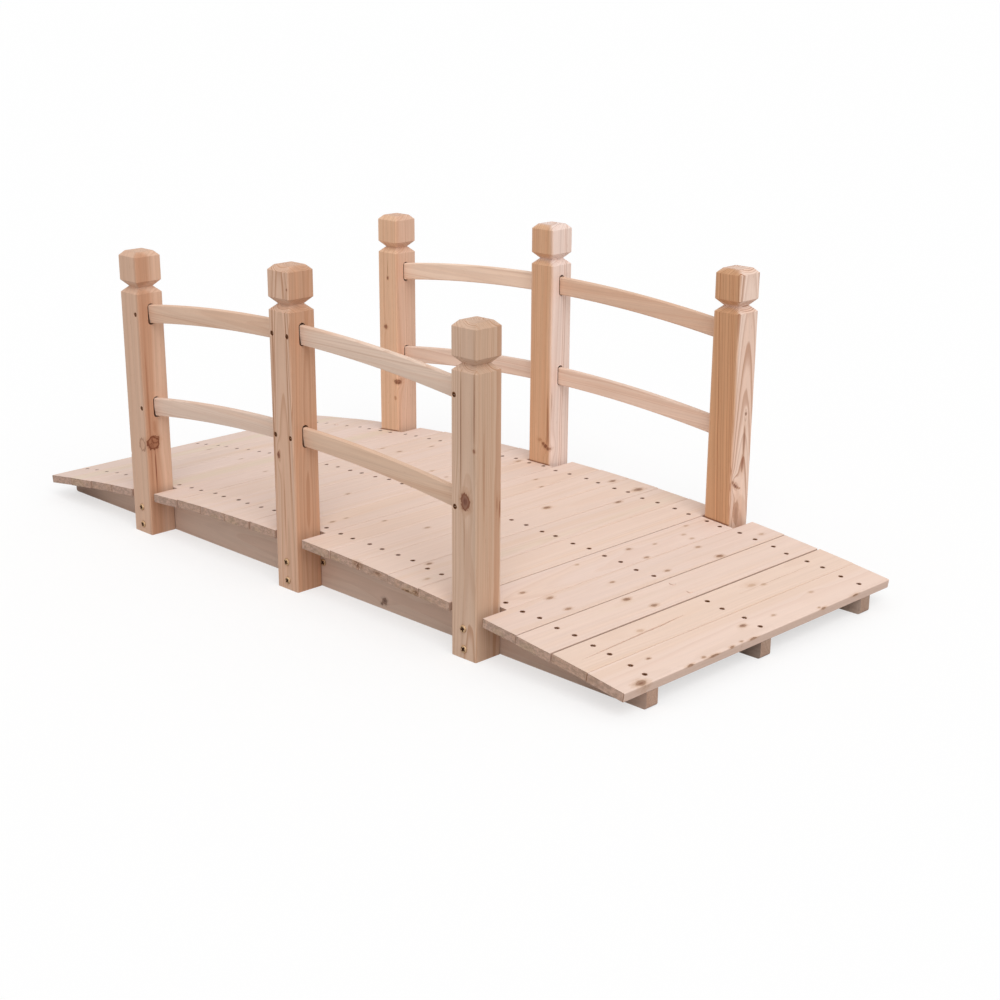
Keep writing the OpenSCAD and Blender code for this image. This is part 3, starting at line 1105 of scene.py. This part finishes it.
    def board_frame(self, index: int) -> Matrix:
        """The frame of a board, its origin at the middle of the top face.

        Args:
            index: the board's number, from 0 at the left end.

        Returns:
            The frame, with Y out of the top face and Z along the board.
        """
        angle = (index - self.middle) * self.board_angle
        up = Vector((math.sin(angle), 0.0, math.cos(angle)))
        return frame_of(Vector((0, 0, self.centre)) + up * self.radius, up, (0, 1, 0))

    def _knots_of(self, place: Matrix, dents: Sequence[Dent]) -> tuple[Knot, ...]:
        """The dark marks beside a board's torn places, and the knots that lie on it.

        Args:
            place: the frame of the board.
            dents: its torn places.

        Returns:
            Its knots.
        """
        found = []
        back = place.inverted()
        for dent in dents:
            spot = (back @ Vector([part * MM for part in dent.place])) / MM
            across, along, through = (part + self.bruise for part in dent.size)
            found.append(Knot(tuple(spot), across, through, along / across, self.bruise_darkness))
        for x, y, radius, darkness in self.knots:
            across = (back @ Vector((x * MM, 0, place.translation.z))).x
            if abs(across) <= self.half_pitch:
                strength = min(1.0, darkness * self.knot_strength)
                found.append(Knot((across / MM, 0.0, y), radius * self.knot_width, self.knot_depth,
                                  self.knot_stretch, strength, radius, ring=darkness / 3))
        return tuple(found)

    def _screw_spots(self, place: Matrix, chance: random.Random) -> list[tuple[Vector, Vector]]:
        """Where the screws of one board are: two over each stringer.

        Args:
            place: the frame of the board.
            chance: the source of small differences.

        Returns:
            For each screw, its place and the direction out of the board.
        """
        spots = []
        aside, ahead = self.screw_play
        for row in self.screw_rows:
            for side in (-1, 1):
                across = side * self.screw_offset + either_way(chance, aside)
                along = row + either_way(chance, ahead)
                spots.append((place @ Vector((across, 0, along)), place.col[1].to_3d()))
        return spots

    def _stock(self, index: int, place: Matrix, dents: Sequence[Dent], chance: random.Random) -> Stock:
        """One board's timber.

        Args:
            index: the board's number, from 0 at the left end.
            place: its frame.
            dents: its torn places.
            chance: the source of the differences between boards.

        Returns:
            How the board was cut.
        """
        pith = (either_way(chance, self.pith_across), -chance.uniform(*self.pith_below))
        return Stock(
            seed=chance.uniform(0, LAST_SEED), pith=pith,
            lean=tuple(either_way(chance, most) for most in self.leans),
            ring_width=chance.uniform(*self.ring_widths), wander=chance.uniform(*self.wanders),
            heart_centre=pith, heart_radius=chance.uniform(*self.heart_radii),
            warmth=self.warmths[index], lightness=self.levels[index], seam_shade=self.seam_shades[index],
            joint_start=self.half_pitch - self.joint_line, joint_shade=self.joint_shade,
            knots=self._knots_of(place, dents))

    def build(self, chance: random.Random) -> None:
        """Dresses the boards, drives their screws and tears their edges a little.

        Args:
            chance: the source of the differences between boards.
        """
        for index in range(self.board_count):
            number = index + 1
            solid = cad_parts[f"deck_board_{number:02d}"]
            place = self.board_frame(index)
            self.screws.drive(solid, self._screw_spots(place, chance), chance)
            for board, crack in self.cracks:
                if board == number:
                    cut(solid, crack.shape(place), f"crack_{crack.start[1]:.0f}")
            dents = [dent for board, dent in self.torn if board == number]
            take_away(solid, dents)
            keep_flat(solid)
            stock = self._stock(index, place, dents, chance)
            self.finish.dress(solid, place, stock, self.effects)
            log.info("%s, %d marks", solid.name, len(stock.knots))


@dataclass
class Stringers:
    """The three arch-cut stringers under the deck; the middle and back ones are painted darker as shade."""

    finish: WoodFinish
    effects: Effects
    screws: Screws
    # Each stringer's name, line and lightness; the middle and back ones are darker as painted shade under the
    # deck.
    lines: tuple[tuple[str, float, float], ...] = (
        ("front", -270.51 * MM, 1.0), ("middle", 0.0, 0.45), ("back", 270.51 * MM, 0.72))
    half_thickness: float = 12.7 * MM
    mid_height: float = 40 * MM
    front_knots: tuple[Knot, ...] = (
        Knot((-25, 12.7, 184.9), 5.8, 10, 1.1, 1.0, 3, ring=0.6),
        Knot((-31.5, 12.7, 178), 2.8, 6, 1.2, 1.0, 1, ring=0.35),
        Knot((-10, 12.7, 560), 3.4, 8, 1.3, 0.4, 2, ring=0.35))
    extra_screw: tuple[float, float] = (28.5 * MM, 43.5 * MM)
    # The end tint of the middle and back stringers, divided by their lightness, so that their ends keep their
    # colour under the painted shade.
    inner_end: Colour = (0.588, 0.54, 0.504)
    pith_across: float = 20 * MM
    pith_below: tuple[float, float] = (20 * MM, 60 * MM)
    leans: tuple[float, float] = (0.01, 0.015)
    ring_width: float = 3.8 * MM
    wander: float = 1.8 * MM
    heart_centre: tuple[float, float] = (0.0, -50 * MM)
    heart_radii: tuple[float, float] = (30 * MM, 50 * MM)
    # The front stringer is darkened towards its tips as painted shade under the deck's overhang.
    tip_start: float = 0.6
    tip_fade: float = 0.13
    tip_shade: float = 0.45

    def build(self, chance: random.Random) -> None:
        """Dresses the stringers and drives the one screw beside a middle post.

        Args:
            chance: the source of the differences between them.
        """
        for name, line, lightness in self.lines:
            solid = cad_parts[f"{name}_stringer"]
            in_front = name == "front"
            if in_front:
                x, z = self.extra_screw
                spot = Vector((x, line - self.half_thickness, z))
                self.screws.drive(solid, [(spot, Vector((0, -1, 0)))], chance)
                keep_flat(solid)
            # The middle and back stringers' lower lightness is painted shade; their end tint makes up for it.
            inner_end = tuple(share / lightness for share in self.inner_end)
            finish = self.finish if in_front else replace(self.finish, end_tint=inner_end)
            stock = Stock(
                seed=chance.uniform(0, LAST_SEED),
                pith=(either_way(chance, self.pith_across), -chance.uniform(*self.pith_below)),
                lean=tuple(either_way(chance, most) for most in self.leans), ring_width=self.ring_width,
                wander=self.wander, heart_centre=self.heart_centre,
                heart_radius=chance.uniform(*self.heart_radii), lightness=lightness,
                seat_start=self.tip_start, seat_fade=self.tip_fade,
                seat_shade=self.tip_shade if in_front else 0.0, knots=self.front_knots if in_front else ())
            place = frame_of((0, line, self.mid_height), (0, -1, 0), (1, 0, 0))
            finish.dress(solid, place, stock, self.effects)
            log.info("%s", solid.name)


class Side(Enum):
    """The two sides of the bridge, with the sign of Y."""

    FRONT = ("front", -1)
    BACK = ("back", 1)


class Face(Enum):
    """The two faces of a post that carry marks, with the axis into the timber."""

    RIGHT = 0
    NEAR = 1


@dataclass(frozen=True)
class PostWood:
    """What sets one post apart: its timber, its two colours, its torn places and how strong its figure is."""

    stock: Stock
    sapwood: Colour
    heartwood: Colour
    torn: tuple[Dent, ...] = ()
    line_strength: float = 0.5
    patchiness: float = 0.25


@dataclass
class Posts:
    """The six square posts with their rail screws and stringer screws.

    The screws' places are in millimetres, from the post's middle line and from the ground.
    """

    finish: WoodFinish
    effects: Effects
    rail_screws: Screws
    stringer_screws: Screws
    width: float = 53.34 * MM
    half_width: float = 336.55 * MM
    span: float = 429.56 * MM
    shift: float = -3.0 * MM
    deck_crown: float = 98.0 * MM
    deck_radius: float = 5150.0 * MM
    rail_marks: tuple[tuple[tuple[float, float], ...], ...] = (
        ((16, 413.8), (17.5, 241.4)), ((-19.6, 440.3), (-19.6, 269.5), (19.2, 440.3), (19.2, 269.5)),
        ((-21, 413.8), (-19.5, 241.4)))
    foot_marks: tuple[tuple[float, float], ...] = ((-1, 49), (0.5, 16))

    def _knot(self, face: Face, across: float, height: float, radius: float, depth: float, stretch: float,
              darkness: float, reach: float = 0.0, ring: float = 0.0) -> Knot:
        """A knot in one face of a post, in millimetres.

        Args:
            face: the face.
            across: its place on it, from the middle of the near face or from the near edge of the right one.
            height: its height above ground.
            radius: half of its width.
            depth: how deep it goes.
            stretch: how much longer than wide it is.
            darkness: how dark it is, from 0 to 1.
            reach: how far it lifts the rings.
            ring: how dark its rim is, from 0 to 1.

        Returns:
            The knot.
        """
        half = self.width / 2 / MM
        place = (across, -half, height) if face is Face.NEAR else (half, across - half, height)
        return Knot(place, radius, depth, stretch, darkness, reach, face.value, ring)

    def _streak(self, face: Face, across: float, height: float, length: float, darkness: float,
                half_width: float) -> Knot:
        """A dark streak along the grain of one face of a post, in millimetres.

        Args:
            face: the face.
            across: its place on it, as for a knot.
            height: the height of its middle above ground.
            length: how long it is.
            darkness: how dark it is, from 0 to 1.
            half_width: half of its width.

        Returns:
            The streak.
        """
        return self._knot(face, across, height, half_width, 4, length / 2 / half_width, darkness)

    def woods(self) -> dict[str, PostWood]:
        """The timber of each post.

        Returns:
            The woods by the posts' names.
        """
        near, right, knot, streak = Face.NEAR, Face.RIGHT, self._knot, self._streak
        left_edge = (self.shift - self.span - self.width / 2) / MM
        return {
            "front_left": PostWood(
                Stock(11.3, (0.14, 0.055), (0, 0.004), 3.4 * MM, 0.7 * MM, (0.0387, -0.0137), 0.0205, knots=(
                    knot(right, 14, 175.5, 12, 9, 1.1, 0.6, 4, 1.0),
                    knot(right, 10, 170, 4.5, 6, 1.2, 0.7, 0, 0.8),
                    knot(right, 19, 181, 7.5, 6, 1.0, 0.3, 0, 0.9),
                    knot(near, 13, 172, 9, 6, 1.4, 0.12, 2, 0.5),
                    knot(right, 20, 204, 3.5, 6, 4.0, 0.25),
                    streak(right, 17.5, 125, 85, 0.9, 1.3),
                    streak(right, 9, 220, 300, 0.3, 2.2))),
                paint(218, 181, 156), paint(199, 152, 123),
                (Dent((left_edge, -self.half_width / MM, 149), (2.2, 2.6, 8)),), 0.22, 0.12),
            "front_middle": PostWood(
                Stock(23.9, (0.004, 0.0), (0.0, 0.02), 3.0 * MM, 1.3 * MM, (0.06, 0.0), 0.045, knots=(
                    knot(near, -12.5, 235, 3.4, 9, 1.6, 1.0, 7, 0.8),
                    streak(near, -17, 410, 170, 0.5, 1.6),
                    streak(near, -22.5, 270, 170, 0.4, 1.8),
                    streak(near, -1, 140, 130, 0.35, 1.6),
                    streak(near, 17, 330, 400, 0.4, 1.3),
                    streak(near, 12, 515, 50, 0.5, 0.8),
                    knot(near, 22.8, 517, 1.5, 5, 1.3, 0.95, 1, 0.35),
                    streak(near, 21, 500, 30, 0.4, 0.5))),
                paint(221, 184, 159), paint(201, 157, 128), line_strength=0.75),
            "front_right": PostWood(
                Stock(37.1, (0.012, 0.012), (0.0, 0.018), 3.1 * MM, 2.0 * MM, (0.045, -0.004), 0.0335, knots=(
                    knot(near, 3.5, 253.5, 9, 20, 1.45, 1.0, 3.5, 0.9),
                    knot(near, 22, 335.6, 2.4, 8, 1.3, 0.8, 3, 0.35),
                    streak(near, -6, 360, 200, 0.9, 1.0),
                    streak(near, 22, 400, 130, 0.9, 0.9),
                    streak(near, 1, 190, 90, 0.6, 0.7),
                    streak(right, 50, 236, 34, 0.55, 2.2),
                    streak(right, 44, 246, 30, 0.35, 1.6),
                    streak(right, 16, 300, 160, 0.25, 2.4))),
                paint(216, 183, 159), paint(203, 170, 145), line_strength=0.55, patchiness=0.1),
            "back_left": PostWood(
                Stock(41.7, (-0.05, -0.04), (0.0, 0.01), 2.8 * MM, 1.2 * MM, (0.0, -0.06), 0.045, knots=(
                    knot(near, -6.8, 298.4, 5, 10, 0.8, 0.85, 4, 0.6),
                    knot(near, 23.67, 187.5, 6, 12, 0.7, 0.9, 4, 0.6),
                    knot(right, 5, 185.5, 6, 9, 0.6, 0.9, 2, 0.6),
                    knot(near, 1.3, 399.7, 2.4, 6, 1.4, 1.0, 2, 0.7),
                    streak(near, 1.3, 416, 32, 0.6, 0.7),
                    knot(near, 19.9, 152.3, 3, 8, 1.3, 0.4, 3, 0.35))),
                paint(222, 184, 160), paint(232, 192, 160), line_strength=0.4),
            "back_middle": PostWood(
                Stock(59.2, (-0.05, -0.03), (0.004, 0.004), 3.0 * MM, 1.2 * MM, (0.0, -0.06), 0.045, knots=(
                    knot(near, 10.5, 138.5, 3.4, 6, 0.9, 0.9, 3, 0.3),
                    knot(near, 16.5, 134.5, 4.6, 9, 0.85, 1.0, 6, 0.5),
                    knot(near, 23, 130.5, 3.8, 9, 0.9, 0.9, 3, 0.4),
                    knot(near, 1.5, 144.5, 5.5, 4, 0.7, 0.3),
                    streak(right, 5, 222, 45, 0.5, 1.2),
                    streak(near, 21, 185, 110, 0.55, 2.6),
                    streak(near, 23.5, 160, 70, 0.6, 1.6))),
                paint(241, 217, 205), paint(220, 177, 142)),
            "back_right": PostWood(
                Stock(67.4, (-0.012, 0.004), (-0.041, 0.0), 2.9 * MM, 0.8 * MM, (0.0, -0.06), 0.045, knots=(
                    knot(right, 34, 274, 2.2, 6, 1.3, 1.0, 3, 0.6),
                    knot(right, 7, 155.5, 3.6, 6, 1.1, 0.7, 2),
                    knot(right, 11, 150.5, 3.8, 6, 0.9, 0.85, 3),
                    knot(right, 15.5, 147, 3.8, 8, 0.8, 0.95, 4, 0.2),
                    knot(right, 20.5, 144, 3.8, 6, 0.6, 0.7, 1),
                    knot(right, 26, 141.5, 4, 6, 0.5, 0.5),
                    streak(right, 20, 98, 55, 0.6, 9),
                    streak(right, 33, 222, 75, 0.7, 3.2),
                    streak(right, 31, 185, 40, 0.6, 3.6),
                    streak(right, 32, 85, 120, 0.2, 19))),
                paint(242, 214, 197), paint(210, 163, 125), line_strength=0.95)}

    def _drive(self, side: Side, station: int, solid: bpy.types.Object, chance: random.Random) -> None:
        """Drives the screws of one post's outer face.

        Args:
            side: the side of the bridge.
            station: -1, 0 or 1 from the left.
            solid: the post's solid.
            chance: the source of small differences.
        """
        sign = side.value[1]
        middle, out = self.shift + station * self.span, Vector((0, sign, 0))
        rail_marks = self.rail_marks[station + 1]
        for screws, marks in ((self.rail_screws, rail_marks), (self.stringer_screws, self.foot_marks)):
            spots = [Vector((middle + x * MM, sign * self.half_width, z * MM)) for x, z in marks]
            screws.drive(solid, [(spot, out) for spot in spots], chance)

    def build(self, chance: random.Random) -> None:
        """Dresses the posts and drives the screws of their outer faces.

        Args:
            chance: the source of small differences.
        """
        woods = self.woods()
        for side in Side:
            label, sign = side.value
            for station, name in enumerate(("left", "middle", "right"), -1):
                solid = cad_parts[f"{label}_{name}_post"]
                x = self.shift + station * self.span
                place = frame_of((x, sign * (self.half_width - self.width / 2), 0), (0, 1, 0), (0, 0, 1))
                wood = woods[f"{label}_{name}"]
                self._drive(side, station, solid, chance)
                take_away(solid, wood.torn)
                keep_flat(solid)
                finish = replace(self.finish, sapwood=wood.sapwood, heartwood=wood.heartwood,
                                 line_strength=wood.line_strength, patchiness=wood.patchiness)
                # The foot numbers place a line of painted shade where the deck meets the post's inner face.
                stock = replace(wood.stock, foot_height=self.deck_crown - x * x / (2 * self.deck_radius),
                                foot_slope=-x / self.deck_radius, foot_side=-sign)
                finish.dress(solid, place, stock, self.effects)
                log.info("%s", solid.name)


@dataclass
class Rails:
    """The eight bowed rails."""

    finish: WoodFinish
    effects: Effects
    line: float = 309.88 * MM
    bays: tuple[tuple[str, float], ...] = (("left", -217.78 * MM), ("right", 211.78 * MM))
    # Past the mouth of its mortise a rail's end is darkened as painted shade in the slot.
    mouth: float = 188.2 * MM
    seat_shade: float = 0.8
    pith_across: float = 40 * MM
    pith_aside: tuple[float, float] = (15 * MM, 45 * MM)
    leans: tuple[float, float] = (0.02, 0.02)
    ring_width: float = 3.0 * MM
    wander: float = 1.2 * MM
    heart_radii: tuple[float, float] = (10 * MM, 30 * MM)
    warmth: float = 0.3
    lightnesses: tuple[float, float] = (0.98, 1.02)
    heights: tuple[tuple[str, float], ...] = (("lower", 262 * MM), ("upper", 435 * MM))
    shades: tuple[tuple[str, Colour], ...] = (
        ("front_right_lower_rail", (0.92, 0.85, 0.78)), ("front_left_upper_rail", (0.96, 0.88, 0.8)),
        ("back_right_upper_rail", (0.905, 0.835, 0.775)), ("back_left_upper_rail", (1.09, 1.1, 1.09)))

    def _stock(self, chance: random.Random) -> Stock:
        """One rail's timber.

        Args:
            chance: the source of the differences between rails.

        Returns:
            How the rail was cut.
        """
        pith = (either_way(chance, self.pith_across),
                chance.choice((-1, 1)) * chance.uniform(*self.pith_aside))
        return Stock(
            seed=chance.uniform(0, LAST_SEED), pith=pith,
            lean=tuple(either_way(chance, most) for most in self.leans), ring_width=self.ring_width,
            wander=self.wander, heart_centre=pith, heart_radius=chance.uniform(*self.heart_radii),
            warmth=either_way(chance, self.warmth), lightness=chance.uniform(*self.lightnesses),
            seat_start=self.mouth, seat_shade=self.seat_shade)

    def build(self, chance: random.Random) -> None:
        """Dresses the rails.

        Args:
            chance: the source of the differences between them.
        """
        shades = dict(self.shades)
        for side in Side:
            label, sign = side.value
            for bay, x in self.bays:
                for level, z in self.heights:
                    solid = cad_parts[f"{label}_{bay}_{level}_rail"]
                    place = frame_of((x, sign * self.line, z), (0, 1, 0), (1, 0, 0))
                    finish = self.finish.shaded(shades.get(solid.name, (1.0, 1.0, 1.0)))
                    finish.dress(solid, place, self._stock(chance), self.effects)
                    log.info("%s", solid.name)


@dataclass
class Studio:
    """Floor, soft light and the camera at the photograph's angle."""

    camera_place: Place = (2.205536, -2.067267, 1.037158)
    azimuth: float = 45.9
    elevation: float = 19.192
    roll: float = -0.076
    focal_pixels: float = 1742.858
    centre_x: float = 460.419
    centre_y: float = 552.424
    picture: float = 1000.0
    sensor: float = 36.0
    far_limit: float = 200.0
    floor_half: float = 60.0
    floor_drop: float = 0.2 * MM
    floor_seen: float = 0.99
    floor_lit: float = 0.6
    floor_glow: float = 0.6
    ambient: float = 0.5
    suns: tuple[tuple[str, Place, float, float], ...] = (
        ("right_softbox", (0.606, -0.364, 0.707), 0.495, 50), ("high_softbox", (0.0, 0.0, 1.0), 0.15, 90))

    def camera(self) -> None:
        """Makes the camera."""
        azimuth, elevation, roll = (math.radians(a) for a in (self.azimuth, self.elevation, self.roll))
        level = math.cos(elevation)
        back = Vector((math.sin(azimuth) * level, -math.cos(azimuth) * level, math.sin(elevation)))
        right = Vector((math.cos(azimuth), math.sin(azimuth), 0))
        up = back.cross(right)
        rolled = right * math.cos(roll) + up * math.sin(roll)
        above = up * math.cos(roll) - right * math.sin(roll)
        data = bpy.data.cameras.new("camera")
        data.sensor_width = self.sensor
        data.lens = self.focal_pixels / self.picture * self.sensor
        data.shift_x = (self.picture / 2 - self.centre_x) / self.picture
        data.shift_y = (self.centre_y - self.picture / 2) / self.picture
        data.clip_end = self.far_limit
        camera = bpy.data.objects.new("camera", data)
        turn = Matrix((rolled, above, back)).transposed().to_4x4()
        camera.matrix_world = Matrix.Translation(self.camera_place) @ turn
        bpy.context.scene.collection.objects.link(camera)
        bpy.context.scene.camera = camera

    def floor(self) -> None:
        """Makes the pale floor, which looks white and keeps a light shadow of the bridge."""
        shape = bmesh.new()
        half = self.floor_half
        corners = ((-half, -half), (half, -half), (half, half), (-half, half))
        shape.faces.new([shape.verts.new((x, y, 0)) for x, y in corners])
        floor = to_object("floor", shape)
        floor.location.z = -self.floor_drop
        material, graph = Graph.of_material("pale_floor")
        lit, bright = (graph.put("ShaderNodeBsdfDiffuse", {"Color": (share,) * 3}).outputs[0]
                       for share in (self.floor_lit, self.floor_seen))
        glow = graph.put("ShaderNodeEmission", {"Color": (1, 1, 1), "Strength": 1.0}).outputs[0]
        seen = graph.put("ShaderNodeMixShader", {0: self.floor_glow, 1: bright, 2: glow}).outputs[0]
        camera_ray = graph.put("ShaderNodeLightPath").outputs["Is Camera Ray"]
        surface = graph.put("ShaderNodeMixShader", {0: camera_ray, 1: lit, 2: seen}).outputs[0]
        graph.put("ShaderNodeOutputMaterial", {"Surface": surface})
        floor.data.materials.append(material)

    def world(self) -> None:
        """Makes the surroundings: white to look at, and a soft light from all round."""
        world = bpy.data.worlds.new("surroundings")
        world.use_nodes = True
        bpy.context.scene.world = world
        graph = Graph(world.node_tree)
        path = graph.put("ShaderNodeLightPath").outputs
        seen = graph.math("MAXIMUM", path["Is Camera Ray"], graph.math(
            "MAXIMUM", path["Is Glossy Ray"], path["Is Transmission Ray"]))
        strength = graph.linear(seen, 1 - self.ambient, self.ambient)
        sky = graph.put("ShaderNodeBackground", {"Color": (1, 1, 1), "Strength": strength})
        graph.put("ShaderNodeOutputWorld", {"Surface": sky.outputs[0]})

    @staticmethod
    def sun(name: str, towards: Place, share: float, spread: float) -> None:
        """Makes a broad soft sun.

        Args:
            name: the light's name.
            towards: the direction from the bridge to the light.
            share: how bright it makes a white surface that faces it.
            spread: its angular width in degrees.
        """
        data = bpy.data.lights.new(name, "SUN")
        data.energy, data.angle = share * math.pi, math.radians(spread)
        lamp = bpy.data.objects.new(name, data)
        lamp.rotation_mode = "QUATERNION"
        lamp.rotation_quaternion = Vector(towards).to_track_quat("Z", "Y")
        bpy.context.scene.collection.objects.link(lamp)

    def build(self) -> None:
        """Builds the stage."""
        bpy.context.scene.view_settings.view_transform = "Standard"
        self.camera()
        self.floor()
        self.world()
        for sun in self.suns:
            self.sun(*sun)
        log.info("stage and light")


def main() -> None:
    """Builds the looks of the bridge in order."""
    logging.basicConfig(level=logging.INFO, format="%(name)s: %(message)s")
    effects = Effects()
    brown_screws = Screws("deck_and_rail_screws", MetalFinish())
    yellow_steel = MetalFinish(paint(206, 172, 134), paint(160, 120, 86), 0.6, 0.2, paint(58, 20, 8))
    yellow_screws = Screws(
        "stringer_screws", yellow_steel,
        ((4.8 * MM, 2.2 * MM), (5.6 * MM, 1.8 * MM), (6.2 * MM, 1.0 * MM), (6.3 * MM, 0.0),
         (5.6 * MM, -0.6 * MM), (2.0 * MM, -1.0 * MM)),
        recess_reach=4.2 * MM, recess_half_width=1.5 * MM, recess_depth=2.6 * MM, sunk=0.0,
        hole_radius=6.7 * MM)
    # The deck's side tint darkens the boards' sides as painted shade.
    deck_wood = WoodFinish(
        latewood=paint(198, 156, 128), stain=paint(228, 198, 175), knot=paint(122, 78, 48),
        sapwood=paint(232, 207, 193), heartwood=paint(229, 207, 187), end_tint=(0.62, 0.54, 0.49),
        edge_tint=(0.82, 0.77, 0.74), bruise_tint=(0.98, 0.89, 0.77), line_strength=0.19, contrast=0.5,
        patchiness=0.45, end_patches=0.34)
    post_wood = WoodFinish(
        latewood=paint(166, 108, 70), stain=paint(208, 150, 112), knot=paint(104, 48, 34),
        end_tint=(1.0, 1.03, 1.06), bruise_tint=(0.97, 0.83, 0.7))
    rail_wood = WoodFinish(
        latewood=paint(192, 142, 108), stain=paint(224, 180, 150), knot=paint(92, 48, 26),
        sapwood=paint(236, 209, 190), heartwood=paint(233, 202, 180), line_strength=0.38, contrast=0.75)
    stringer_wood = WoodFinish(
        latewood=paint(182, 140, 116), stain=paint(208, 170, 150), knot=paint(96, 62, 48),
        sapwood=paint(222, 194, 176), heartwood=paint(216, 180, 160), line_strength=0.25, contrast=0.7)
    Studio().build()
    Stringers(stringer_wood, effects, yellow_screws).build(random.Random(5))
    Deck(deck_wood, effects, brown_screws).build(random.Random(11))
    Posts(post_wood, effects, brown_screws, yellow_screws).build(random.Random(17))
    Rails(rail_wood, effects).build(random.Random(23))
    for screws in (brown_screws, yellow_screws):
        piece = screws.build()
        log.info("%s: %d heads, %d faces", piece.name, len(screws.places), len(piece.data.polygons))


if __name__ == "__main__":
    main()
